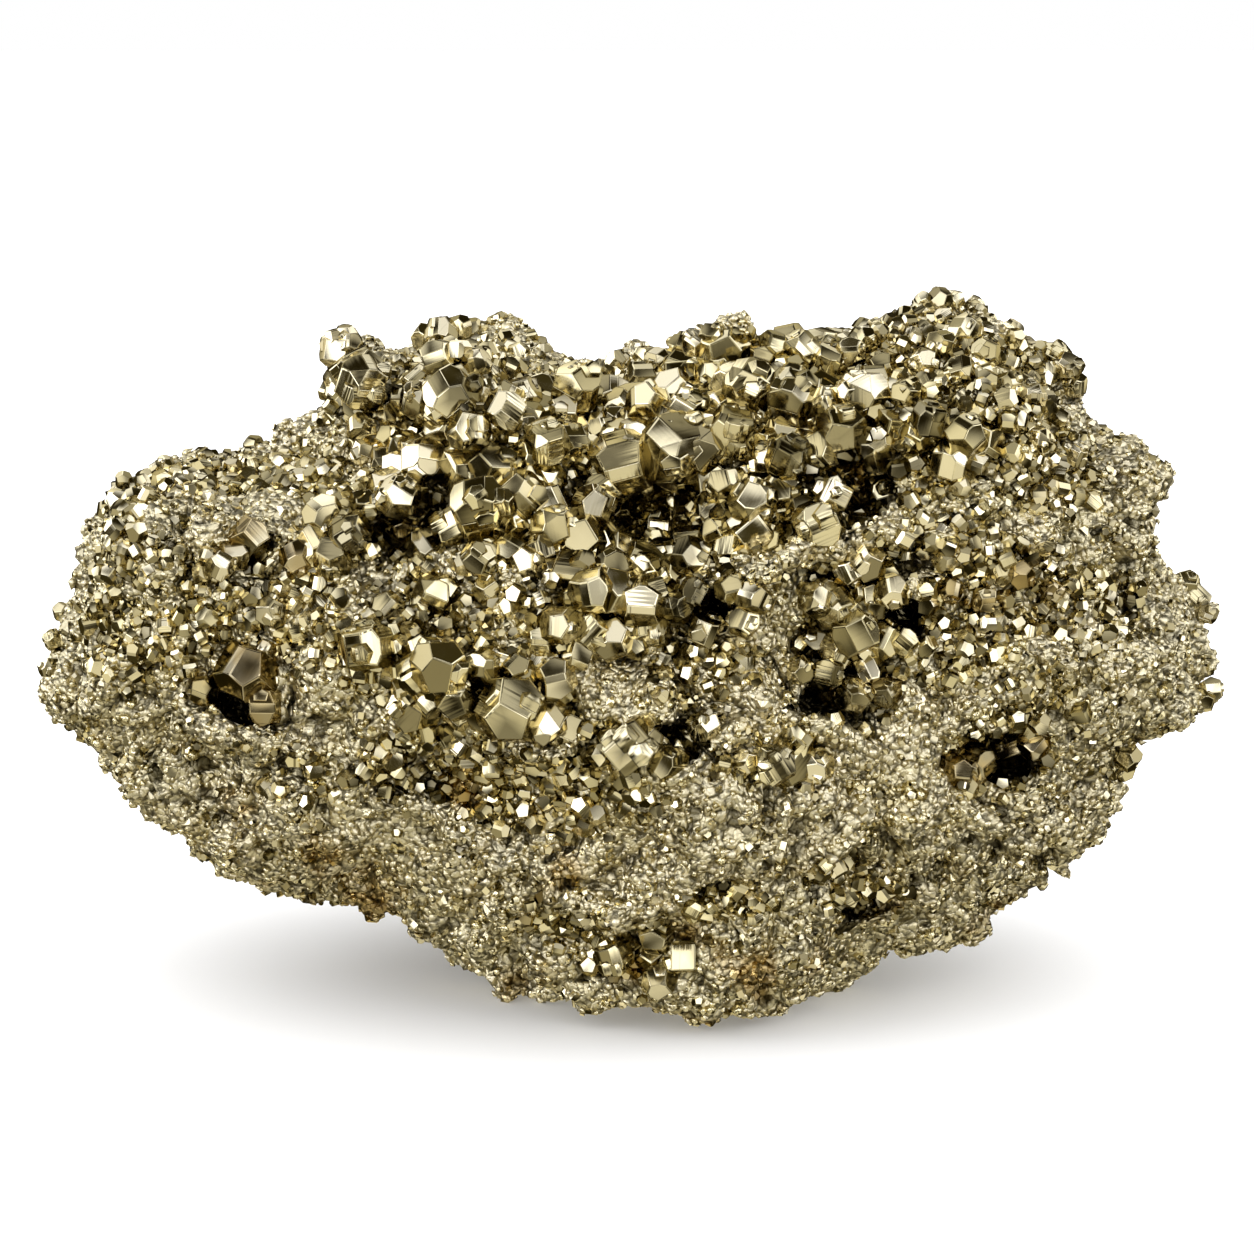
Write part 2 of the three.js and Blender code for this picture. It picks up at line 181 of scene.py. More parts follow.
# Hollows of the front: the picture x and y of both ends, half width, depth in millimetres
HOLLOWS = (
    (525, 392, 560, 388, 16, 2), (795, 452, 825, 460, 13, 2.5), (740, 405, 765, 405, 14, 2.5),
    (385, 370, 405, 440, 13, 2), (405, 440, 450, 470, 22, 1.2), (218, 640, 232, 680, 14, 1.5),
    (270, 710, 300, 735, 14, 2), (182, 505, 188, 600, 12, 1.6), (890, 555, 940, 562, 14, 1.5),
    (930, 625, 975, 615, 14, 1.5), (665, 545, 680, 590, 14, 2), (675, 620, 690, 650, 12, 1.5),
    (845, 668, 880, 675, 9, 1.2), (812, 620, 815, 660, 8, 1), (475, 705, 520, 740, 11, 2),
    (540, 700, 562, 715, 12, 2), (500, 660, 525, 680, 14, 1.5), (955, 765, 1045, 745, 10, 1),
    (1120, 560, 1135, 600, 14, 2.2), (1140, 600, 1150, 625, 14, 2), (1010, 525, 1025, 550, 13, 2),
    (935, 700, 945, 712, 12, 2), (195, 782, 210, 790, 16, 2.2), (310, 735, 350, 775, 12, 1.8),
    (355, 785, 390, 792, 14, 2.5), (330, 830, 400, 860, 40, 1.2), (500, 955, 515, 975, 14, 2),
    (620, 950, 640, 975, 13, 2), (600, 895, 612, 905, 10, 1.8), (660, 850, 668, 862, 10, 2),
    (665, 930, 730, 935, 14, 2.2), (935, 870, 950, 890, 12, 2), (425, 580, 438, 592, 12, 2.5),
    (920, 430, 935, 440, 12, 2), (770, 735, 765, 790, 13, 1.5), (940, 835, 960, 830, 12, 1.5),
    (540, 590, 565, 600, 10, 1.2), (100, 610, 115, 650, 12, 1.2), (110, 690, 150, 720, 10, 1.2),
    (465, 810, 505, 850, 10, 1.5), (640, 815, 660, 825, 10, 1.5), (880, 800, 890, 850, 12, 1.2),
    (560, 770, 600, 775, 12, 1.5), (470, 430, 500, 435, 12, 1.5), (960, 590, 1060, 598, 18, 1.1),
    (1065, 440, 1080, 470, 10, 1.2), (1000, 640, 1100, 660, 8, 0.8), (1162, 508, 1172, 536, 13, 1.7),
    (1150, 438, 1166, 455, 9, 1.2), (190, 858, 210, 868, 9, 1),
)

# Brown stains low on the front: picture x, picture y, radius
STAINS = (
    (323, 858, 26), (372, 895, 34), (560, 875, 26), (465, 793, 20), (759, 978, 24), (240, 800, 20),
    (690, 930, 18),
)


def length_setting(name, description, millimetres):
    return bpy.props.FloatProperty(
        name=name, description=description, default=millimetres * MM, unit="LENGTH", precision=5
    )


def radii_setting(name, smallest, largest):
    return bpy.props.FloatVectorProperty(
        name=name, description="Smallest and largest radius", size=2,
        default=(smallest * MM, largest * MM), unit="LENGTH", precision=5,
    )


def colour_setting(name, description, *shares):
    return bpy.props.FloatVectorProperty(
        name=name, description=description, size=3, default=shares, subtype="COLOR"
    )


class GroundSettings(bpy.types.PropertyGroup):
    """The ground mass under the crystals."""

    voxel: length_setting("Voxel", "Size of the mesh's faces", 0.7)
    cover: length_setting("Cover", "How far it lies below the tips of the grains", 0.45)
    coarse_cover: length_setting("Coarse cover", "How much deeper it lies under coarse crystals", 1.1)
    pits: length_setting("Pits", "Depth of the small pits of the crust", 1.0)
    crease_spacing: length_setting("Crease spacing", "Distance between the creases", 8)
    crease_depth: length_setting("Crease depth", "Depth of the creases", 2.2)
    lump_spacing: length_setting("Lump spacing", "Distance between the lumps", 5.0)
    lump_height: length_setting("Lump height", "Height of the lumps", 1.1)
    bead_spacing: length_setting("Bead spacing", "Distance between the beads on the lumps", 2.5)
    bead_height: length_setting("Bead height", "Height of the beads", 1.0)


class CrystalSettings(bpy.types.PropertyGroup):
    """The crystals and grains, by their radius."""

    wobble: bpy.props.FloatProperty(
        name="Wobble", description="How unevenly the faces have grown", default=0.07, subtype="FACTOR"
    )
    large_scale: bpy.props.FloatProperty(
        name="Large scale", description="Reach of a large crystal, against its listed width", default=1.35,
        subtype="FACTOR",
    )
    coarse: radii_setting("Coarse", 1.45, 2.8)
    middling: radii_setting("Middling", 0.75, 1.3)
    medium: radii_setting("Medium", 0.4, 0.8)
    fine: radii_setting("Fine", 0.36, 0.76)
    coarse_spacing: length_setting("Coarse spacing", "Least distance apart", 1.95)
    middling_spacing: length_setting("Middling spacing", "Least distance apart", 1.19)
    medium_spacing: length_setting("Medium spacing", "Least distance apart", 0.9)
    fine_spacing: length_setting("Fine spacing", "Least distance apart", 0.66)
    seed: bpy.props.IntProperty(name="Seed", description="Another number gives another growth", default=11)


class FinishSettings(bpy.types.PropertyGroup):
    """The colours of the mineral, and of the painted shade in its hollows and crevices."""

    pale: colour_setting("Pale", "Palest faces", 0.84, 0.765, 0.55)
    brass: colour_setting("Brass", "Most yellow faces", 0.6, 0.525, 0.285)
    # Bronze: faces darkened partly for their lustre, partly as a painted dark reflection
    bronze: colour_setting("Bronze", "Darkest crystal faces", 0.17, 0.137, 0.053)
    # Painted shade: the dark colour that hollows, crevices and gaps between crystals are mixed towards
    painted_shade: colour_setting("Painted shade", "Hollows between the grains", 0.035, 0.026, 0.007)
    stain: colour_setting("Stain", "Brown stains", 0.38, 0.25, 0.07)


class StudioSettings(bpy.types.PropertyGroup):
    """The floor and the lights."""

    floor: colour_setting("Floor", "Colour of the floor", 0.8, 0.8, 0.8)
    floor_light: bpy.props.FloatProperty(
        name="Floor light", description="Light that casts the shadow", default=5.8
    )
    floor_fill: bpy.props.FloatProperty(name="Floor fill", description="Light without a shadow", default=0.66)
    room_light: colour_setting("Room light", "Light between the soft lights", 0.052, 0.042, 0.015)
    low_light: colour_setting("Low light", "Colour of the light from below", 1.02, 0.98, 0.82)
    high_light: colour_setting("High light", "Colour of the light from above", 1.05, 1.07, 1.18)


def smooth_step(values, low, high):
    share = np.clip((values - low) / (high - low), 0, 1)
    return share * share * (3 - 2 * share)


def mesh_points(mesh):
    values = np.empty(len(mesh.vertices) * 3, np.float32)
    mesh.vertices.foreach_get("co", values)
    return values.reshape(-1, 3).astype(float)


def mesh_normals(mesh):
    values = np.empty(len(mesh.vertices) * 3, np.float32)
    mesh.vertex_normals.foreach_get("vector", values)
    return values.reshape(-1, 3).astype(float)


def set_mesh_points(mesh, points):
    mesh.vertices.foreach_set("co", points.astype(np.float32).ravel())
    mesh.update()


def set_field(mesh, name, values):
    attribute = mesh.attributes.get(name) or mesh.attributes.new(name, "FLOAT", "POINT")
    attribute.data.foreach_set("value", np.asarray(values, np.float32))


def get_field(mesh, name):
    values = np.empty(len(mesh.vertices), np.float32)
    mesh.attributes[name].data.foreach_get("value", values)
    return values.astype(float)


def evaluated_mesh(holder, name):
    graph = bpy.context.evaluated_depsgraph_get()
    mesh = bpy.data.meshes.new_from_object(holder.evaluated_get(graph), depsgraph=graph)
    mesh.name = name
    return mesh


def new_object(name, data):
    made = bpy.data.objects.new(name, data)
    bpy.context.scene.collection.objects.link(made)
    return made


def ray_tree(mesh):
    return BVHTree.FromPolygons([v.co for v in mesh.vertices], [tuple(p.vertices) for p in mesh.polygons])


def lift_to_floor(mesh):
    """Brings what lies below the floor up to it."""
    points = mesh_points(mesh)
    points[:, 2] = np.maximum(points[:, 2], 0)
    set_mesh_points(mesh, points)


def feed(tree, source, target):
    """Links a socket to an input of a node, or sets the input to a value."""
    if isinstance(source, bpy.types.NodeSocket):
        tree.links.new(source, target)
    else:
        target.default_value = source


def add_node(tree, kind, inputs, **options):
    """A new node with its options set, and its inputs fed by name or by number."""
    node = tree.nodes.new(kind)
    for name, option in options.items():
        setattr(node, name, option)
    for key, source in inputs.items():
        feed(tree, source, node.inputs[key])
    return node


def dress(piece):
    """Joins a finished piece to the frame."""
    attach(piece, BODY)
    return piece


def sight_line(picture_x, picture_y):
    """The eye, and the direction of sight through a place on the picture."""
    scale = PICTURE_WIDTH / PICTURE_SIDE
    eye = PICTURE_MIDDLE - SIGHT * EYE_DISTANCE
    target = PICTURE_MIDDLE + SIGHT_UP * ((PICTURE_SIDE / 2 - picture_y) * scale)
    target.x += (picture_x - PICTURE_SIDE / 2) * scale
    return eye, (target - eye).normalized()


def picture_places(points):
    """The picture x and y of an array of points."""
    offsets = points - np.array(PICTURE_MIDDLE)
    shrink = EYE_DISTANCE / (EYE_DISTANCE + offsets @ np.array(SIGHT))
    scale = shrink * PICTURE_SIDE / PICTURE_WIDTH
    across = PICTURE_SIDE / 2 + offsets[:, 0] * scale
    down = PICTURE_SIDE / 2 - (offsets @ np.array(SIGHT_UP)) * scale
    return across, down


# Ground mass


def thickness(mesh):
    """How far it is from each corner straight through the mesh, up to a reach."""
    tree = ray_tree(mesh)
    through = []
    for vertex in mesh.vertices:
        inward = -vertex.normal
        distance = tree.ray_cast(vertex.co + inward * RAY_LIFT, inward, THIN_REACH)[3]
        through.append(THIN_REACH if distance is None else distance)
    return np.array(through)


def remeshed_solid(voxel):
    """An even mesh of the solid with softened edges, as a copy."""
    mesh = frame["nodes"][NODE].data.copy()
    work = bmesh.new()
    work.from_mesh(mesh)
    bmesh.ops.remove_doubles(work, verts=work.verts, dist=MERGE_DISTANCE)
    work.to_mesh(mesh)
    work.free()
    holder = new_object("remesh_holder", mesh)
    remesh = holder.modifiers.new("remesh", "REMESH")
    remesh.mode = "VOXEL"
    remesh.voxel_size = voxel
    smooth = holder.modifiers.new("smooth", "SMOOTH")
    smooth.factor = SMOOTHING
    smooth.iterations = SMOOTHING_ROUNDS
    made = evaluated_mesh(holder, "ground_mass")
    bpy.data.objects.remove(holder)
    return made


def lumps(points, spacing):
    """Round lumps side by side, from -0.5 between them to 0.5 on their tops."""
    near = np.array([noise.voronoi(Vector(point) / spacing)[0][0] for point in points])
    return np.sqrt(np.maximum(1 - (near / 0.72) ** 2, 0)) - 0.5


def creases(points, spacing):
    """Narrow creases between larger lumps, open in some places and closed in others, from 0 to 1."""
    depths = np.empty(len(points))
    for index, point in enumerate(points):
        place = Vector(point) / spacing
        bent = place + noise.noise_vector(place * 2.1) * 0.3
        near, next_near = noise.voronoi(bent)[0][:2]
        depths[index] = next_near - near
    opened = smooth_step(waves(points + 0.05, 1.4 * spacing), -0.15, 0.3)
    return opened * np.exp(-((depths / 0.14) ** 2))


def hollows(points):
    """Depth of the hollows of the front, in metres."""
    across, down = picture_places(points)
    across = across + HOLLOW_WANDER * waves(points, HOLLOW_WANDER_SPACING)
    down = down + HOLLOW_WANDER * waves(points + 0.07, HOLLOW_WANDER_SPACING)
    depth = np.zeros(len(points))
    for x0, y0, x1, y1, half_width, deep in HOLLOWS:
        run_x, run_y = x1 - x0, y1 - y0
        share = ((across - x0) * run_x + (down - y0) * run_y) / (run_x * run_x + run_y * run_y)
        share = np.clip(share, 0, 1)
        distance = np.hypot(across - x0 - share * run_x, down - y0 - share * run_y) / half_width
        depth = np.maximum(depth, HOLLOW_SCALE * deep * MM * smooth_step(-distance, -1.2, -0.4))
    return depth * smooth_step(-points[:, 1], -3 * MM, 3 * MM)


def waves(points, spacing):
    return np.array([noise.noise(Vector(point) / spacing) for point in points])


def openness(mesh):
    """How open the surface is at each point: 0 in a deep hollow, 1 on a ridge."""
    tree = ray_tree(mesh)
    spread = np.random.default_rng(OPEN_SEED).normal(size=(OPEN_RAYS, 3))
    spread /= np.linalg.norm(spread, axis=1)[:, None]
    result = np.empty(len(mesh.vertices))
    for index, vertex in enumerate(mesh.vertices):
        normal = vertex.normal
        start = vertex.co + normal * RAY_LIFT
        free = 0
        for ray in spread:
            direction = (Vector(ray) + normal * 1.02).normalized()
            if tree.ray_cast(start, direction, OPEN_REACH)[0] is None:
                free += 1
        result[index] = free / OPEN_RAYS
    return result


def coarseness(points):
    """How coarse the crystals are: from the picture on the front, and by chance elsewhere."""
    across, down = picture_places(points)
    front = np.full(len(points), LEAST_COARSENESS)
    for x, y, half_width, half_height, value in COARSE_PATCHES:
        distance = np.hypot((across - x) / half_width, (down - y) / half_height)
        front = np.maximum(front, value * smooth_step(-distance, -1.25, -0.75))
    rest = smooth_step(waves(points, 13 * MM) + 0.4 * waves(points + 0.1, 6 * MM), 0.0, 0.45)
    rest = np.maximum(rest, 0.52 * smooth_step(waves(points + 0.4, 9 * MM), 0.0, 0.2))
    share = smooth_step(points[:, 1], -4 * MM, 8 * MM)
    return front * (1 - share) + rest * share


def stains(points):
    across, down = picture_places(points)
    value = np.zeros(len(points))
    for x, y, radius in STAINS:
        distance = np.hypot(across - x, down - y) / radius
        value = np.maximum(value, smooth_step(-distance, -1.3, -0.4))
    value *= points[:, 1] < 0
    low = smooth_step(-points[:, 2], -24 * MM, -6 * MM)
    chance = smooth_step(waves(points, 5 * MM), 0.15, 0.55)
    return np.clip(value + 0.7 * low * chance, 0, 1)


def build_ground(settings, material):
    """The solid's form with lumps, beads, creases, hollows and pits, fields for what grows on it, and its
    painted shade.
    """
    noise.seed_set(NOISE_SEED)
    mesh = remeshed_solid(settings.voxel)
    points = mesh_points(mesh)
    normals = mesh_normals(mesh)
    bumps = lumps(points, settings.lump_spacing)
    beads = lumps(points + 0.3, settings.bead_spacing)
    height = settings.lump_height * bumps + settings.bead_height * beads
    cracks = creases(points, settings.crease_spacing)
    cracks = np.maximum(cracks, 0.55 * creases(points + 0.2, 0.5 * settings.crease_spacing))
    height -= np.maximum(hollows(points), settings.crease_depth * cracks)
    coarse = coarseness(points)
    cover = settings.cover + settings.coarse_cover * smooth_step(coarse, 0.35, 0.9)
    low = 0.07 * smooth_step(-points[:, 2], -30 * MM, -15 * MM)
    pits = smooth_step(waves(points, PIT_SPACING) + low, 0.2, 0.34)
    pits = pits * smooth_step(waves(points, PIT_PATCHES), -0.4, 0.2)
    height -= settings.pits * pits
    shift = np.maximum(height - cover, -THIN_SHARE * thickness(mesh))
    moved = points + normals * shift[:, None]
    moved[:, 2] = np.maximum(moved[:, 2], 0)
    set_mesh_points(mesh, moved)
    # Painted shade: darker where the surface is closed in, in the folds between lumps and beads, in pits, and
    # between coarse crystals
    fold_shade = (0.75 + 0.25 * smooth_step(bumps, -0.5, 0.1)) * (0.65 + 0.35 * smooth_step(beads, -0.5, 0.1))
    open_share = openness(mesh) * fold_shade * (1 - 0.8 * pits)
    set_field(mesh, "open", open_share)
    set_field(mesh, "shade", open_share * (1 - 0.8 * smooth_step(coarse, 0.5, 0.9)))
    set_field(mesh, "pit", pits)
    set_field(mesh, "bead", smooth_step(beads, -0.4, 0.4))
    set_field(mesh, "coarse", coarse)
    set_field(mesh, "stain", stains(moved))
    set_field(mesh, "tint", 0.5 + 0.5 * waves(moved, 3 * MM))
    mesh.materials.clear()
    mesh.materials.append(material)
    mesh.polygons.foreach_set("use_smooth", np.ones(len(mesh.polygons), bool))
    piece = new_object("ground_mass", mesh)
    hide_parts(NODE)
    return dress(piece)


# Crystal forms


def form_planes(pyritohedron, cube, octahedron, wobble, chance):
    """Normals and distances of a crystal's faces. A form with no distance is left out."""
    planes = []
    for axis in range(3):
        for sign in (-1, 1):
            normal = np.zeros(3)
            normal[axis] = sign
            planes.append((normal, cube))
            for roof in (-1, 1):
                slanted = 2 * normal
                slanted[(axis + 1) % 3] = roof
                planes.append((slanted, pyritohedron))
    for signs in itertools.product((-1, 1), repeat=3):
        planes.append((np.array(signs, float), octahedron))
    return [
        (normal / np.linalg.norm(normal), distance * (1 + wobble * chance.uniform(-1, 1)))
        for normal, distance in planes
        if distance
    ]


def polyhedron(planes):
    """Corners, faces and face normals of the convex solid inside the planes."""
    normals = np.array([normal for normal, _ in planes])
    distances = np.array([distance for _, distance in planes])
    trios = np.array(list(itertools.combinations(range(len(planes)), 3)))
    matrices = normals[trios]
    sound = np.abs(np.linalg.det(matrices)) > 1e-4
    places = np.linalg.solve(matrices[sound], distances[trios[sound]][..., None])[..., 0]
    places = places[(places @ normals.T <= distances + 1e-6).all(1)]
    corners = places[np.unique(np.round(places, 4), axis=0, return_index=True)[1]]
    faces = []
    face_normals = []
    for normal, distance in planes:
        on_face = np.where(np.abs(corners @ normal - distance) < 3e-4)[0]
        if len(on_face) < 3:
            continue
        side = np.cross(normal, [0.31, 0.57, 0.76])
        side /= np.linalg.norm(side)
        other = np.cross(normal, side)
        offsets = corners[on_face] - corners[on_face].mean(0)
        order = np.argsort(np.arctan2(offsets @ other, offsets @ side))
        faces.append([int(i) for i in on_face[order]])
        face_normals.append(normal)
    return corners, faces, face_normals


def face_axes(normal):
    """Two directions on a face. Its growth lines follow the first."""
    along = np.zeros(3)
    along[np.argmin(np.abs(normal))] = 1
    along -= normal * (along @ normal)
    along /= np.linalg.norm(along)
    return along, np.cross(normal, along)


def crystal_mesh(name, planes, edged):
    """A crystal with an outer radius of 1. Edged faces know how far each place is from their edges."""
    corners, faces, normals = polyhedron(planes)
    corners = corners / np.linalg.norm(corners, axis=1).max()
    work = bmesh.new()
    rim = work.verts.layers.float.new("rim")
    tone = work.faces.layers.float.new("face_tone")
    layer = work.loops.layers.uv.new("UVMap")
    verts = [work.verts.new(corner) for corner in corners]
    for vert in verts:
        vert[rim] = 0 if edged else 1
    for order, (face, normal) in enumerate(zip(faces, normals)):
        ring = [verts[i] for i in face]
        made = []
        if edged:
            middle = work.verts.new(corners[face].mean(0))
            middle[rim] = 1
            for first, second in zip(ring, ring[1:] + ring[:1]):
                made.append(work.faces.new((first, second, middle)))
        else:
            made.append(work.faces.new(ring))
        along, across = face_axes(normal)
        for part in made:
            part[tone] = order * GOLDEN % 1
            for loop in part.loops:
                loop[layer].uv = (along @ loop.vert.co, across @ loop.vert.co)
    bmesh.ops.recalc_face_normals(work, faces=work.faces)
    return finished(work, name)


# Crystal forms: how far out the pyritohedron, cube and octahedron faces lie, where there are any
CRYSTAL_FORMS = (
    (1.0, None, None), (1.0, 1.06, None), (1.0, 1.02, None), (1.0, None, 1.2), (1.0, 1.04, 1.16),
    (1.0, 0.95, None), (1.0, 1.03, None), (1.0, 0.84, None), (1.0, 0.9, 1.12), (1.0, 1.08, None),
)

MEDIUM_FORMS = (
    (None, 0.8, None), (1.0, None, None), (None, 0.8, 1.25), (1.0, None, None),
    (None, 0.8, None), (1.0, None, None),
) * 2


def cut_meshes(name, kinds, level, wobble, chance):
    """Crystals in all turns, each cut off flat below, where it sits in the crust."""
    meshes = []
    for form in kinds:
        turn = np.array(random_turn(chance).to_matrix())
        planes = [(turn @ normal, distance) for normal, distance in form_planes(*form, wobble, chance)]
        planes.append((np.array((0, 0, -1.0)), level))
        meshes.append(crystal_mesh(f"{name}_{len(meshes)}", planes, False))
    return meshes


def crystal_meshes(name, kinds, edged, wobble, chance):
    meshes = []
    for form in kinds:
        planes = form_planes(*form, wobble, chance)
        meshes.append(crystal_mesh(f"{name}_{len(meshes)}", planes, edged))
    return meshes


def cluster_mesh(name, main, forms, satellites, chance):
    """A crystal with smaller ones grown on it, most of them with the same turn, with an outer radius of 1."""
    work = bmesh.new()
    add_crystal(work, main, Vector(), 1, Quaternion())
    for _ in range(satellites):
        away = Vector(chance.normal(size=3)).normalized()
        small = chance.uniform(0.32, 0.6)
        turn = Quaternion() if chance.uniform() < 0.7 else random_turn(chance)
        form = forms[chance.integers(len(forms))]
        add_crystal(work, form, away * (1.08 - small) * chance.uniform(0.85, 1.1), small, turn)
    reach = max(vert.co.length for vert in work.verts)
    bmesh.ops.scale(work, vec=(1 / reach, 1 / reach, 1 / reach), verts=work.verts)
    return finished(work, name)


def random_turn(chance):
    return Quaternion(chance.normal(size=4)).normalized()


def finished(work, name):
    """The mesh that was under construction."""
    mesh = bpy.data.meshes.new(name)
    work.to_mesh(mesh)
    work.free()
    return mesh


def add_crystal(work, mesh, middle, radius, turn):
    """Joins a copy of a crystal to a mesh under construction."""
    first = len(work.verts)
    work.from_mesh(mesh)
    work.verts.ensure_lookup_table()
    matrix = Matrix.LocRotScale(middle, turn, Vector((radius, radius, radius)))
    for vert in work.verts[first:]:
        vert.co = matrix @ vert.co
    return len(work.verts) - first


# Grain ends: number of sloping faces, their slope in degrees, height of the flat end if there is one
GRAIN_CAPS = (
    (4, 52, 0.5), (5, 46, 0.55), (3, 52, 0.5), (5, 46, None),
    (5, 50, 0.55), (4, 56, 0.6), (5, 58, 0.55), (4, 50, None),
)


def cap_planes(sides, slope, top, chance):
    """The end of a grain that stands out of the crust: sloping faces, and perhaps a flat end."""
    planes = [(np.array((0, 0, -1.0)), 0.3)]
    for side in range(sides):
        turn = 2 * math.pi * (side + chance.uniform(-0.16, 0.16)) / sides
        steep = math.radians(slope + chance.uniform(-9, 9))
        flat = math.sin(steep)
        normal = np.array((math.cos(turn) * flat, math.sin(turn) * flat, math.cos(steep)))
        planes.append((normal, 0.6 + chance.uniform(-0.06, 0.06)))
    if top:
        lean = chance.uniform(-0.25, 0.25, 2)
        normal = np.array((lean[0], lean[1], 1))
        planes.append((normal / np.linalg.norm(normal), top))
    return planes


def grain_meshes(chance):
    """Grains for the crust. Three in four are rounded, and the others have flat faces."""
    meshes = []
    for cap in GRAIN_CAPS * 2:
        mesh = crystal_mesh(f"grain_{len(meshes)}", cap_planes(*cap, chance), False)
        if len(meshes) % 4:
            mesh.polygons.foreach_set("use_smooth", np.ones(len(mesh.polygons), bool))
        meshes.append(mesh)
    return meshes


# Large crystals


def ground_corners():
    """The mesh of the ground mass, and a tree that finds its corners."""
    ground = bpy.data.objects["ground_mass"].data
    tree = KDTree(len(ground.vertices))
    for vertex in ground.vertices:
        tree.insert(vertex.co, vertex.index)
    tree.balance()
    return ground, tree


def shade_feet(mesh):
    """Paints shade on crystals towards their feet, which stand between the others."""
    ground, tree = ground_corners()
    points = mesh_points(mesh)
    nearest = np.array([tree.find(point)[1] for point in points])
    offsets = points - mesh_points(ground)[nearest]
    heights = (offsets * mesh_normals(ground)[nearest]).sum(1)
    light = FOOT_LIGHT + (1 - FOOT_LIGHT) * smooth_step(heights, -0.4 * MM, 0.7 * MM)
    set_field(mesh, "shade", get_field(mesh, "shade") * light)


def crystal_middle(tree, picture_x, picture_y, radius):
    """The middle of a crystal at a place on the picture, set into the solid or against its edge."""
    eye, direction = sight_line(picture_x, picture_y)
    place = tree.ray_cast(eye, direction)[0]
    if place is not None:
        return place + direction * (SUNK_SHARE * radius)
    steps = [eye + direction * (EYE_DISTANCE + step * MM) for step in range(-50, 51)]
    near = [tree.find_nearest(step) for step in steps]
    best = min(range(len(near)), key=lambda index: near[index][3])
    away = steps[best] - near[best][0]
    return near[best][0] + away.normalized() * min(away.length, EDGE_SHARE * radius)


def build_large_crystals(settings, material):
    """Each large crystal is a main one with smaller ones grown on it."""
    chance = np.random.default_rng(settings.seed)
    forms = crystal_meshes("large_form", CRYSTAL_FORMS, True, settings.wobble, chance)
    tree = ray_tree(frame["nodes"][NODE].data)
    ground, corners = ground_corners()
    ground_shade = get_field(ground, "open")
    work = bmesh.new()
    middles = []
    traits = []
    counts = []
    for x, y, width in SHADED_CRYSTALS + LARGE_CRYSTALS + EDGE_CRYSTALS:
        radius = 0.5 * settings.large_scale * width * MM
        middle = crystal_middle(tree, x, y, radius)
        main = forms[chance.integers(len(forms))]
        cluster = cluster_mesh("large_cluster", main, forms, chance.integers(3, 7), chance)
        counts.append(add_crystal(work, cluster, middle, radius, random_turn(chance)))
        bpy.data.meshes.remove(cluster)
        # Painted shade by the openness of the crystal's place, deeper and browned for those in a hollow
        shade = 0.45 + 0.55 * ground_shade[corners.find(middle)[1]]
        stain = 0.0
        if len(middles) < len(SHADED_CRYSTALS):
            shade = min(shade, SHADED_LIGHT)
            stain = SHADED_BROWN
        traits.append((chance.uniform(), radius, shade, stain))
        middles.append((*middle, radius))
    mesh = finished(work, "large_crystals")
    for form in forms:
        bpy.data.meshes.remove(form)
    for name, values in zip(("tint", "girth", "shade", "stain"), np.repeat(traits, counts, axis=0).T):
        set_field(mesh, name, values)
    lift_to_floor(mesh)
    mesh.materials.append(material)
    shade_feet(mesh)
    keep_middles(np.array(middles))
    return dress(new_object("large_crystals", mesh))


def keep_middles(rows):
    """Adds the middles and radii of crystals to those that later grains keep clear of."""
    old = bpy.data.meshes.get("crystal_middles")
    if old:
        known = np.column_stack((mesh_points(old), get_field(old, "girth")))
        rows = np.vstack((known, rows))
        bpy.data.meshes.remove(old)
    mesh = bpy.data.meshes.new("crystal_middles")
    mesh.vertices.add(len(rows))
    set_mesh_points(mesh, rows[:, :3])
    set_field(mesh, "girth", rows[:, 3])


# Druse


# How each size grows: lean towards small ones, lowest and highest stand in radii, tilt in radians, and the
# room that it leaves round larger crystals, against their radius
GROWTH = {
    "coarse": {"Bias": 1.3, "Low": -0.15, "High": 0.3, "Tilt": math.pi, "Clear": 0.85},
    "middling": {"Bias": 1.4, "Low": -0.2, "High": 0.3, "Tilt": math.pi, "Clear": 0.8},
    "medium": {"Bias": 1.6, "Low": -0.25, "High": 0.15, "Tilt": 0.4, "Clear": 0.85},
    "fine": {"Bias": 1.7, "Low": -0.25, "High": 0.2, "Tilt": 0.45, "Clear": 0.75},
}
DRUSE_INPUTS = {
    "Geometry": "Geometry", "Forms": "Collection", "Larger": "Object", "Material": "Material",
    "Spacing": "Float", "Small": "Float", "Large": "Float", "Bias": "Float", "Low": "Float",
    "High": "Float", "Tilt": "Float", "Clear": "Float", "Seed": "Int",
}


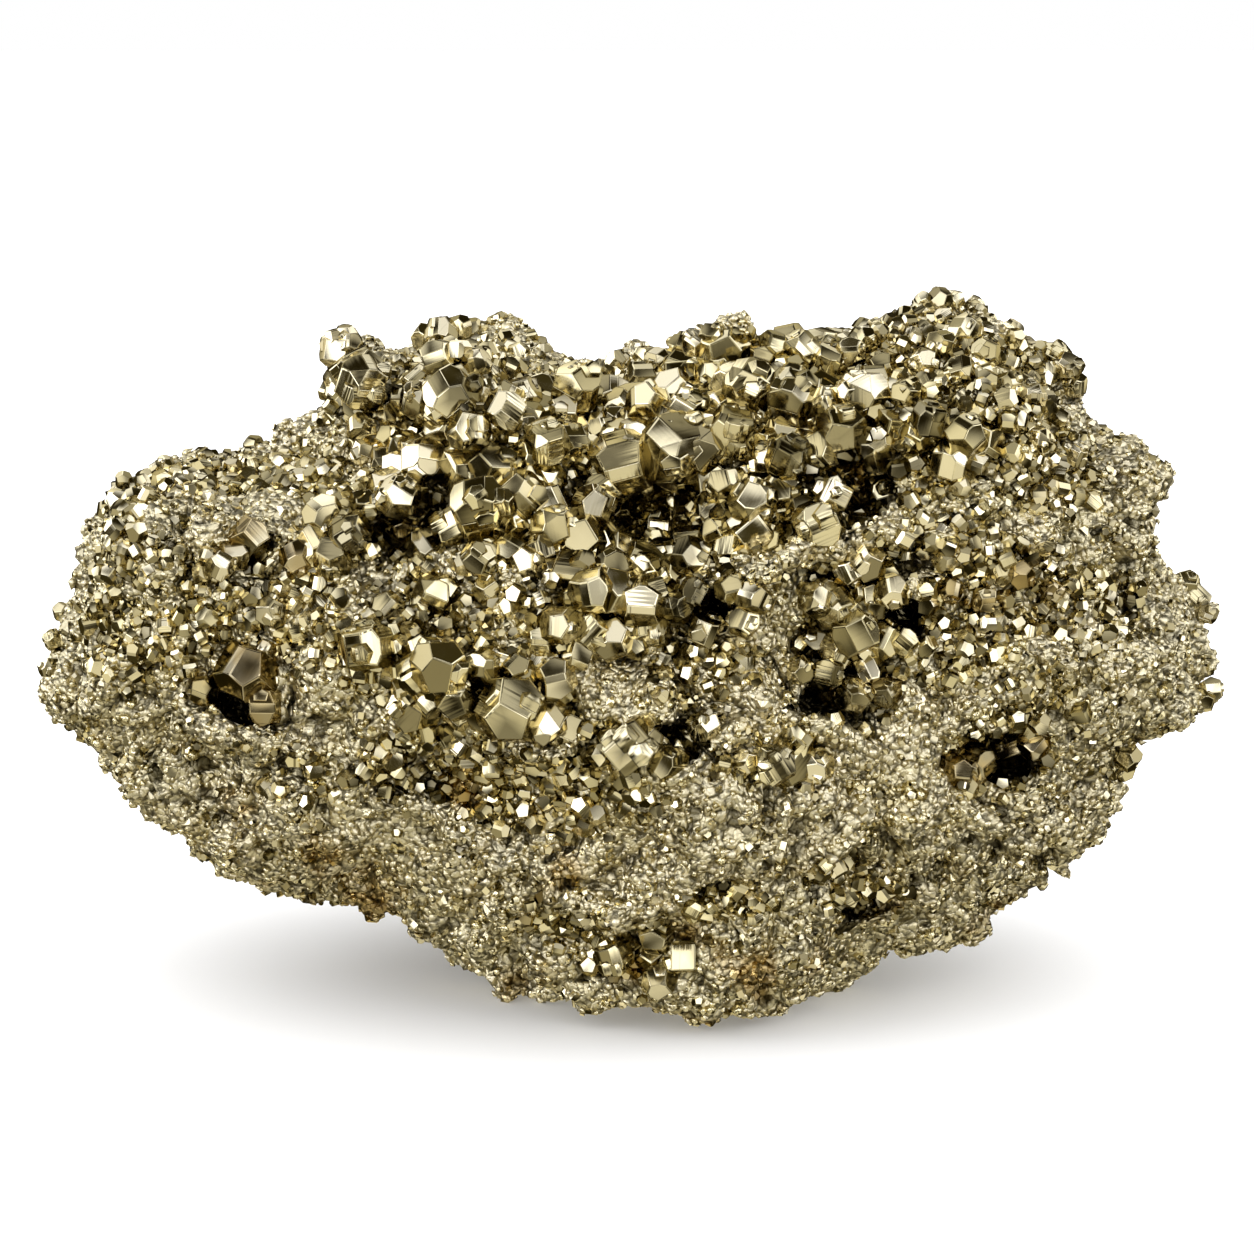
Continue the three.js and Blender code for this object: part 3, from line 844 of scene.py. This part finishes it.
def druse_tree():
    """Grows crystals on a surface: spaced points, one crystal on each, clear of the larger ones."""
    tree = bpy.data.node_groups.new("druse", "GeometryNodeTree")
    tree.interface.new_socket(name="Geometry", in_out="OUTPUT", socket_type="NodeSocketGeometry")
    for name, kind in DRUSE_INPUTS.items():
        tree.interface.new_socket(name=name, in_out="INPUT", socket_type=f"NodeSocket{kind}")
    given = tree.nodes.new("NodeGroupInput").outputs

    def add(kind, inputs, **options):
        return add_node(tree, kind, inputs, **options).outputs

    def calc(operation, *values):
        return add("ShaderNodeMath", dict(enumerate(values)), operation=operation)[0]

    def by_chance(low, high, seed_shift):
        seed = calc("ADD", given["Seed"], seed_shift)
        made = add_node(tree, "FunctionNodeRandomValue", {"Seed": seed}, data_type="FLOAT")
        lowest, highest = [s for s in made.inputs if s.type == "VALUE"][:2]
        feed(tree, low, lowest)
        feed(tree, high, highest)
        return next(s for s in made.outputs if s.type == "VALUE")

    def field(name):
        return add("GeometryNodeInputNamedAttribute", {"Name": name}, data_type="FLOAT")["Attribute"]

    def store(geometry, name, kind, domain, source):
        inputs = {"Geometry": geometry, "Name": name, "Value": source}
        return add("GeometryNodeStoreNamedAttribute", inputs, data_type=kind, domain=domain)["Geometry"]

    # Spaced points, each with the radius of its crystal
    square = calc("MULTIPLY", given["Spacing"], given["Spacing"])
    inputs = {
        "Mesh": given["Geometry"], "Distance Min": given["Spacing"], "Seed": given["Seed"],
        "Density Max": calc("DIVIDE", 3.0, square), "Density Factor": field("density"),
    }
    spread = add("GeometryNodeDistributePointsOnFaces", inputs, distribute_method="POISSON")
    share = calc("POWER", by_chance(0.0, 1.0, 1), given["Bias"])
    span = calc("SUBTRACT", given["Large"], given["Small"])
    radius = calc("MULTIPLY", calc("MULTIPLY_ADD", share, span, given["Small"]), field("size"))
    points = store(spread["Points"], "girth", "FLOAT", "POINT", radius)
    points = store(points, "crystal", "INT", "POINT", add("GeometryNodeInputIndex", {})[0])

    # Each point at the height of its crystal
    height = calc("MULTIPLY", field("girth"), by_chance(given["Low"], given["High"], 2))
    rise = add("ShaderNodeVectorMath", {0: spread["Normal"], "Scale": height}, operation="SCALE")[0]
    points = add("GeometryNodeSetPosition", {"Geometry": points, "Offset": rise})["Geometry"]

    # No points where a larger crystal stands
    larger = add("GeometryNodeObjectInfo", {"Object": given["Larger"]})["Geometry"]
    nearest = add("GeometryNodeSampleNearest", {"Geometry": larger}, domain="POINT")["Index"]

    def sample(kind, source):
        inputs = {"Geometry": larger, "Value": source, "Index": nearest}
        return add("GeometryNodeSampleIndex", inputs, data_type=kind, domain="POINT")[0]

    position = add("GeometryNodeInputPosition", {})[0]
    ends = {0: position, 1: sample("FLOAT_VECTOR", position)}
    gap = add("ShaderNodeVectorMath", ends, operation="DISTANCE")["Value"]
    room = calc("MULTIPLY", sample("FLOAT", field("girth")), given["Clear"])
    inputs = {"Geometry": points, "Selection": calc("LESS_THAN", gap, room)}
    points = add("GeometryNodeDeleteGeometry", inputs, domain="POINT")["Geometry"]

    # One crystal on each point, turned by chance
    minus = calc("MULTIPLY", given["Tilt"], -1.0)
    angles = {
        "X": by_chance(minus, given["Tilt"], 3), "Y": by_chance(minus, given["Tilt"], 4),
        "Z": by_chance(-math.pi, math.pi, 5),
    }
    turns = {0: spread["Rotation"], 1: add("ShaderNodeCombineXYZ", angles)[0]}
    forms = {"Collection": given["Forms"], "Separate Children": True, "Reset Children": True}
    inputs = {
        "Points": points, "Instance": add("GeometryNodeCollectionInfo", forms)[0], "Pick Instance": True,
        "Rotation": add("FunctionNodeRotateRotation", turns, rotation_space="LOCAL")[0],
        "Scale": field("girth"), "Instance Index": calc("FLOOR", by_chance(0.0, FORM_PICKS, 6)),
    }
    crystals = add("GeometryNodeInstanceOnPoints", inputs)["Instances"]
    crystals = store(crystals, "tint", "FLOAT", "INSTANCE", by_chance(0.0, 1.0, 7))
    realized = add("GeometryNodeRealizeInstances", {"Geometry": crystals})["Geometry"]
    finish = {"Geometry": realized, "Material": given["Material"]}
    add("NodeGroupOutput", {"Geometry": add("GeometryNodeSetMaterial", finish)["Geometry"]})
    return tree


def grow(name, growth, settings, seed_shift, meshes, material, fields):
    """One piece of druse on the ground mass."""
    ground = bpy.data.objects["ground_mass"].data.copy()
    for field, values in fields.items():
        set_field(ground, field, values)
    holder = new_object("druse_holder", ground)
    forms = bpy.data.collections.new("druse_forms")
    for mesh in meshes:
        forms.objects.link(bpy.data.objects.new(mesh.name, mesh))
    larger = new_object("larger_crystals", bpy.data.meshes["crystal_middles"])
    tree = bpy.data.node_groups.get("druse") or druse_tree()
    modifier = holder.modifiers.new("druse", "NODES")
    modifier.node_group = tree
    small, large = getattr(settings, growth)
    inputs = {
        "Forms": forms, "Larger": larger, "Material": material, "Small": small, "Large": large,
        "Spacing": getattr(settings, f"{growth}_spacing"), "Seed": settings.seed + seed_shift,
        **GROWTH[growth],
    }
    for item in tree.interface.items_tree:
        if item.in_out == "INPUT" and item.name in inputs:
            modifier[item.identifier] = inputs[item.name]
    mesh = evaluated_mesh(holder, name)
    if len(mesh.polygons) == 0:
        raise RuntimeError(f"{name} has no crystals")
    for made in [holder, larger, *forms.objects]:
        bpy.data.objects.remove(made)
    bpy.data.collections.remove(forms)
    bpy.data.meshes.remove(ground)
    lift_to_floor(mesh)
    return dress(new_object(name, mesh))


def grow_crystals(growth, *details):
    """A piece of crystals with painted shade at their feet, and that later grains keep clear of."""
    piece = grow(f"{growth}_crystals", growth, *details)
    shade_feet(piece.data)
    keep_middles(crystal_rows(piece.data))


def crystal_rows(mesh):
    """The middle and radius of each crystal of a piece of druse."""
    points = mesh_points(mesh)
    order = np.empty(len(points), np.int32)
    mesh.attributes["crystal"].data.foreach_get("value", order)
    _, order, counts = np.unique(order, return_inverse=True, return_counts=True)
    sums = np.column_stack([np.bincount(order, points[:, axis]) for axis in range(3)])
    radius = np.bincount(order, get_field(mesh, "girth"))
    return np.column_stack((sums, radius)) / counts[:, None]


def build_druse(settings, faces, crust):
    """The coarse crystals, the middling and medium ones, and the fine grains in parts of the surface."""
    ground = bpy.data.objects["ground_mass"].data
    points = mesh_points(ground)
    coarse = get_field(ground, "coarse")
    shade = get_field(ground, "open")
    between = get_field(ground, "shade")
    pit = get_field(ground, "pit")
    chance = np.random.default_rng(settings.seed + 1)
    grain_size = 0.75 + 0.4 * get_field(ground, "bead")
    standing = smooth_step(points[:, 2], 0.8 * MM, 2.5 * MM)
    size = 0.8 + 0.25 * coarse

    edged = crystal_meshes("coarse_form", CRYSTAL_FORMS, True, settings.wobble, chance)
    simple = crystal_meshes("simple_form", CRYSTAL_FORMS, False, settings.wobble, chance)
    clusters = []
    for order, form in enumerate(edged):
        clusters.append(cluster_mesh(f"coarse_cluster_{order}", form, simple, 2, chance))
    outside = standing * smooth_step(shade, 0.03, 0.13)
    density = outside * smooth_step(coarse, 0.68, 0.82)
    # Painted shade: each crystal takes the shade of its place on the ground, and the smaller ones are darker
    # between the coarse crystals
    fields = {"density": density, "size": size, "shade": np.maximum(shade, 0.3)}
    grow_crystals("coarse", settings, 0, clusters, faces, fields)

    density = outside * smooth_step(coarse, 0.38, 0.55)
    fields = {"density": density, "size": size, "shade": 0.5 * shade + 0.5 * between}
    grow_crystals("middling", settings, 5, simple, faces, fields)

    forms = cut_meshes("medium_form", MEDIUM_FORMS, CUT_LEVEL, settings.wobble, chance)
    clumps = 0.18 + 0.45 * smooth_step(waves(points, 4 * MM), 0.0, 0.35)
    clumps = np.maximum(clumps * (1 - pit), 0.75 * smooth_step(coarse, 0.2, 0.5))
    density = standing * smooth_step(shade, 0.04, 0.15) * clumps
    fields = {"density": density, "size": size, "shade": between}
    grow_crystals("medium", settings, 10, forms, faces, fields)

    forms = grain_meshes(chance)
    crusted = (1 - pit) * (1 - 0.45 * smooth_step(coarse, 0.5, 0.75))
    front = points[:, 1] < 0
    left = points[:, 0] < 0
    parts = {
        "front_left": front & left, "front_right": front & ~left,
        "back_left": ~front & left, "back_right": ~front & ~left,
    }
    for order, (part, where) in enumerate(parts.items()):
        fields = {"density": where * crusted, "size": grain_size, "shade": between}
        grow(f"fine_druse_{part}", "fine", settings, 20 + order, forms, crust, fields)


# Finish


class Finish:
    """Builds the nodes of one material."""

    def __init__(self, name):
        self.material = bpy.data.materials.new(name)
        self.material.use_nodes = True
        self.tree = self.material.node_tree
        self.wear("Metallic", 1)
        self.wear("Specular Tint", EDGE_TINT)

    def wear(self, name, source):
        """Gives the surface one of its properties."""
        feed(self.tree, source, self.tree.nodes["Principled BSDF"].inputs[name])

    def add(self, kind, inputs, **options):
        return add_node(self.tree, kind, inputs, **options).outputs

    def field(self, name):
        return self.add("ShaderNodeAttribute", {}, attribute_name=name)["Fac"]

    def place(self):
        return self.add("ShaderNodeTexCoord", {})["Object"]

    def noise(self, vector, scale, detail):
        return self.add("ShaderNodeTexNoise", {"Vector": vector, "Scale": scale, "Detail": detail})["Fac"]

    def ranged(self, source, low, high, to_low, to_high):
        inputs = {"Value": source, "From Min": low, "From Max": high, "To Min": to_low, "To Max": to_high}
        return self.add("ShaderNodeMapRange", inputs, interpolation_type="SMOOTHSTEP")["Result"]

    def mix(self, share, first, second):
        made = add_node(self.tree, "ShaderNodeMix", {"Factor": share}, data_type="RGBA")
        for source, target in zip((first, second), [s for s in made.inputs if s.type == "RGBA"]):
            feed(self.tree, source, target)
        return next(s for s in made.outputs if s.type == "RGBA")

    def math(self, operation, first, second=0.0):
        return self.add("ShaderNodeMath", {0: first, 1: second}, operation=operation)[0]

    def bump(self, height, strength, distance, **under):
        inputs = {"Height": height, "Strength": strength, "Distance": distance, **under}
        return self.add("ShaderNodeBump", inputs)["Normal"]


def opaque(colour):
    return (*colour, 1.0)


def mineral_colour(finish, settings, dark_faces=None):
    """Pale to brassy from crystal to crystal, bronze on faces darkened partly for their lustre and partly as
    a painted dark reflection, painted shade in hollows, brown in stains.
    """
    place = finish.place()
    tint = finish.field("tint")
    cloud = finish.noise(place, 260.0, 3.0)
    share = finish.math("ADD", finish.math("MULTIPLY", tint, 0.65), finish.math("MULTIPLY", cloud, 0.35))
    colour = finish.mix(share, opaque(settings.pale), opaque(settings.brass))
    if dark_faces is not None:
        colour = finish.mix(dark_faces, colour, opaque(settings.bronze))
    # Painted shade: where the shade field is low, in hollows, folds, pits and between crystals, the colour
    # turns dark
    hollow = finish.ranged(finish.field("shade"), 0.02, 0.48, 0.94, 0.0)
    colour = finish.mix(hollow, colour, opaque(settings.painted_shade))
    patchy = finish.ranged(cloud, 0.3, 0.6, 0.0, 0.85)
    stained = finish.math("MULTIPLY", finish.field("stain"), patchy)
    return finish.mix(stained, colour, opaque(settings.stain))


def crystal_finish(settings):
    """Bright faces with growth lines and narrow rounded edges, some of them dark, partly for their lustre and
    partly as a painted reflection.
    """
    finish = Finish("pyrite_faces")
    tint = finish.field("tint")
    # Partly a real difference of lustre between faces, partly a painted reflection: some faces turn bronze,
    # as if they reflected the dark room
    tone = finish.math("ADD", finish.field("face_tone"), finish.math("MULTIPLY", tint, 9.0))
    dark_faces = finish.ranged(finish.math("FRACT", tone), 0.4, 0.7, 0.0, 0.85)
    finish.wear("Base Color", mineral_colour(finish, settings, dark_faces))
    slow = finish.noise(finish.place(), 700.0, 1.0)
    finish.wear("Roughness", finish.ranged(slow, 0.3, 0.7, 0.07, 0.16))

    # Growth lines across each face, a slight bulge, and a rounding along its edges
    face = finish.add("ShaderNodeUVMap", {}, uv_map="UVMap")["UV"]
    bulge = finish.add("ShaderNodeVectorMath", {0: face, 1: face}, operation="DOT_PRODUCT")["Value"]
    down = finish.add("ShaderNodeSeparateXYZ", {0: face})["Y"]
    across = finish.math("ADD", down, finish.math("MULTIPLY", tint, 40.0))
    inputs = {"W": across, "Scale": 2.0, "Detail": 2.0}
    lines = finish.add("ShaderNodeTexNoise", inputs, noise_dimensions="1D")["Fac"]
    uneven = finish.math("MULTIPLY", lines, 5.0)
    ridges = finish.math("PINGPONG", finish.math("ADD", finish.math("MULTIPLY", across, 2.0), uneven), 1.0)
    some = finish.math("FRACT", finish.math("MULTIPLY", tint, 7.3))
    height = finish.math("MULTIPLY", ridges, finish.ranged(some, 0.45, 0.9, 0.0004, 0.006))
    height = finish.math("SUBTRACT", height, finish.math("MULTIPLY", bulge, 0.05))
    height = finish.math("ADD", height, finish.ranged(finish.field("rim"), 0.0, 0.1, -0.012, 0.0))
    finish.wear("Normal", finish.bump(height, 1.0, finish.field("girth")))
    return finish.material


def crust_finish(settings):
    """Small grains, from dull to bright."""
    finish = Finish("pyrite_crust")
    finish.wear("Base Color", mineral_colour(finish, settings))
    finish.wear("Roughness", finish.ranged(finish.field("tint"), 0.1, 0.9, 0.38, 0.08))
    grit = finish.noise(finish.place(), 4200.0, 1.0)
    finish.wear("Normal", finish.bump(grit, 0.5, 0.08 * MM))
    return finish.material


def ground_finish(settings):
    """The crinkled, beaded skin of the crust between the grains, with painted shade in the crevices between
    the beads.
    """
    finish = Finish("pyrite_ground")
    place = finish.place()
    bend = finish.add("ShaderNodeTexNoise", {"Vector": place, "Scale": 900.0})["Color"]
    inputs = {0: bend, 1: (0.9 * MM, 0.9 * MM, 0.9 * MM), 2: place}
    bent = finish.add("ShaderNodeVectorMath", inputs, operation="MULTIPLY_ADD")[0]
    gap = finish.add("ShaderNodeTexVoronoi", {"Vector": bent, "Scale": 1500.0})["Distance"]
    # Painted shade: the crevices between the beads darken towards the painted shade colour
    crevice = finish.ranged(gap, 0.45, 0.75, 0.0, 0.7)
    finish.wear("Base Color", finish.mix(crevice, mineral_colour(finish, settings), opaque(settings.painted_shade)))
    grit = finish.noise(place, 3800.0, 2.0)
    finish.wear("Roughness", finish.ranged(grit, 0.3, 0.7, 0.28, 0.48))
    beads = finish.math("MULTIPLY", finish.math("MULTIPLY", gap, gap), -1.0)
    beads = finish.bump(beads, 1.0, 0.35 * MM)
    finish.wear("Normal", finish.bump(grit, 0.6, 0.1 * MM, Normal=beads))
    return finish.material


# Studio


def light_direction(azimuth, elevation):
    """Azimuth 0 is the viewer's side, and 90 the right."""
    turn, rise = math.radians(azimuth), math.radians(elevation)
    flat = math.cos(rise)
    return Vector((math.sin(turn) * flat, -math.cos(turn) * flat, math.sin(rise)))


# Soft lights of the room: azimuth, elevation, inner and outer half width in degrees, radiance
SOFT_LIGHTS = (
    (-50, 24, 18, 26, 3.05), (42, 12, 15, 22, 2.25), (-4, 60, 13, 20, 1.25), (88, 24, 19, 28, 1.95),
    (-104, 16, 19, 28, 2.6), (176, 36, 18, 26, 0.9), (-146, 40, 16, 24, 1.2), (132, 10, 17, 25, 1.5),
    (52, 60, 13, 20, 1.25), (-80, 58, 13, 20, 1.5), (-58, -30, 17, 28, 1.0), (64, -30, 17, 28, 0.95),
    (4, -40, 16, 26, 0.85), (-170, -40, 18, 32, 0.95), (14, 33, 9, 16, 2.1), (-16, 3, 10, 17, 1.85),
    (-20, -74, 12, 24, 0.75), (2, 12, 10, 34, 0.6),
)


def build_floor(settings):
    """A pale floor with a soft shadow. Its lights shine on it alone."""
    corners = [(x * FLOOR_HALF, y * FLOOR_HALF, 0) for x, y in ((-1, -1), (1, -1), (1, 1), (-1, 1))]
    mesh = bpy.data.meshes.new("floor")
    mesh.from_pydata(corners, [], [(0, 1, 2, 3)])
    material = bpy.data.materials.new("pale_floor")
    material.use_nodes = True
    shader = material.node_tree.nodes["Principled BSDF"].inputs
    shader["Base Color"].default_value = opaque(settings.floor)
    shader["Roughness"].default_value = 0.9
    shader["Specular IOR Level"].default_value = 0.1
    mesh.materials.append(material)
    floor = new_object("floor", mesh)
    floor.visible_glossy = False
    lit = bpy.data.collections.new("lit_floor")
    lit.objects.link(floor)
    for name, shadow in (("floor_light", True), ("floor_fill", False)):
        light = bpy.data.lights.new(name, "SUN")
        light.energy = getattr(settings, name)
        light.angle = SUN_SPREAD if shadow else 0
        light.use_shadow = shadow
        made = new_object(name, light)
        made.rotation_euler.y = SUN_TILT if shadow else 0
        made.light_linking.receiver_collection = lit


def build_world(settings):
    """White behind the lump, and round it a dark room with soft lights that its faces reflect."""
    world = bpy.data.worlds.new("studio")
    world.use_nodes = True
    tree = world.node_tree
    tree.nodes.clear()

    def add(kind, inputs, **options):
        return add_node(tree, kind, inputs, **options).outputs

    def background(shares):
        return add("ShaderNodeBackground", {"Color": opaque(shares)})[0]

    def choose(share, first, second):
        return add("ShaderNodeMixShader", {"Fac": share, 1: first, 2: second})[0]

    direction = add("ShaderNodeTexCoord", {})["Generated"]
    strength = 0.0
    for azimuth, elevation, inner, outer, radiance in SOFT_LIGHTS:
        inputs = {0: direction, 1: light_direction(azimuth, elevation)}
        toward = add("ShaderNodeVectorMath", inputs, operation="DOT_PRODUCT")["Value"]
        inputs = {
            "Value": toward, "From Min": math.cos(math.radians(outer)),
            "From Max": math.cos(math.radians(inner)), "To Max": radiance,
        }
        lobe = add("ShaderNodeMapRange", inputs, interpolation_type="SMOOTHSTEP")["Result"]
        strength = add("ShaderNodeMath", {0: strength, 1: lobe})[0]
    height = add("ShaderNodeSeparateXYZ", {0: direction})["Z"]
    share = add("ShaderNodeMapRange", {"Value": height, "From Min": -1})["Result"]
    ramp = add_node(tree, "ShaderNodeValToRGB", {"Fac": share})
    low, high = ramp.color_ramp.elements
    low.position = 0.3
    low.color = opaque(settings.low_light)
    high.position = 0.6
    high.color = opaque(settings.high_light)
    lights = add("ShaderNodeBackground", {"Color": ramp.outputs["Color"], "Strength": strength})[0]
    room = add("ShaderNodeAddShader", {0: lights, 1: background(settings.room_light)})[0]
    path = add("ShaderNodeLightPath", {})
    rest = choose(path["Is Diffuse Ray"], room, background(DIFFUSE_ROOM))
    add("ShaderNodeOutputWorld", {"Surface": choose(path["Is Camera Ray"], rest, background(WHITE))})
    bpy.context.scene.world = world


def build_camera():
    lens = bpy.data.cameras.new("camera")
    lens.sensor_width = SENSOR_WIDTH
    lens.lens = SENSOR_WIDTH * EYE_DISTANCE / PICTURE_WIDTH
    lens.clip_start = 0.01
    camera = new_object("camera", lens)
    camera.location = PICTURE_MIDDLE - SIGHT * EYE_DISTANCE
    camera.rotation_mode = "QUATERNION"
    camera.rotation_quaternion = SIGHT.to_track_quat("-Z", "Y")
    bpy.context.scene.camera = camera


class PYRITE_OT_ground_mass(bpy.types.Operator):
    """Make the ground mass that the crystals grow from"""

    bl_idname = "pyrite.ground_mass"
    bl_label = "Ground mass"

    def execute(self, context):
        scene = context.scene
        build_ground(scene.pyrite_ground, ground_finish(scene.pyrite_finish))
        return {"FINISHED"}


class PYRITE_OT_large_crystals(bpy.types.Operator):
    """Set the large crystals of the front on the ground mass"""

    bl_idname = "pyrite.large_crystals"
    bl_label = "Large crystals"

    def execute(self, context):
        scene = context.scene
        build_large_crystals(scene.pyrite_crystals, crystal_finish(scene.pyrite_finish))
        return {"FINISHED"}


class PYRITE_OT_druse(bpy.types.Operator):
    """Grow the druse over the ground mass, from coarse to fine"""

    bl_idname = "pyrite.druse"
    bl_label = "Druse"

    def execute(self, context):
        scene = context.scene
        faces = bpy.data.materials["pyrite_faces"]
        build_druse(scene.pyrite_crystals, faces, crust_finish(scene.pyrite_finish))
        return {"FINISHED"}


class PYRITE_OT_studio(bpy.types.Operator):
    """Set up the floor, the lights and the camera"""

    bl_idname = "pyrite.studio"
    bl_label = "Studio"

    def execute(self, context):
        settings = context.scene.pyrite_studio
        build_floor(settings)
        build_world(settings)
        build_camera()
        context.scene.view_settings.view_transform = "Standard"
        return {"FINISHED"}


class PYRITE_PT_panel(bpy.types.Panel):
    """Lists the steps of the specimen"""

    bl_label = "Pyrite specimen"
    bl_idname = "PYRITE_PT_panel"
    bl_space_type = "VIEW_3D"
    bl_region_type = "UI"
    bl_category = "Pyrite"

    def draw(self, context):
        for operator in OPERATORS:
            self.layout.operator(operator.bl_idname)
        for name in SETTINGS:
            settings = getattr(context.scene, name)
            for key in settings.__annotations__:
                self.layout.prop(settings, key)


OPERATORS = (PYRITE_OT_ground_mass, PYRITE_OT_large_crystals, PYRITE_OT_druse, PYRITE_OT_studio)
SETTINGS = {
    "pyrite_ground": GroundSettings,
    "pyrite_crystals": CrystalSettings,
    "pyrite_finish": FinishSettings,
    "pyrite_studio": StudioSettings,
}


def register():
    for made in (*SETTINGS.values(), *OPERATORS, PYRITE_PT_panel):
        bpy.utils.register_class(made)
    for name, group in SETTINGS.items():
        setattr(bpy.types.Scene, name, bpy.props.PointerProperty(type=group))


def unregister():
    for name in SETTINGS:
        delattr(bpy.types.Scene, name)
    for made in reversed((*SETTINGS.values(), *OPERATORS, PYRITE_PT_panel)):
        bpy.utils.unregister_class(made)


def main():
    register()
    bpy.ops.pyrite.ground_mass()
    bpy.ops.pyrite.large_crystals()
    bpy.ops.pyrite.druse()
    bpy.ops.pyrite.studio()
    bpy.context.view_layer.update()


if __name__ == "__main__":
    main()
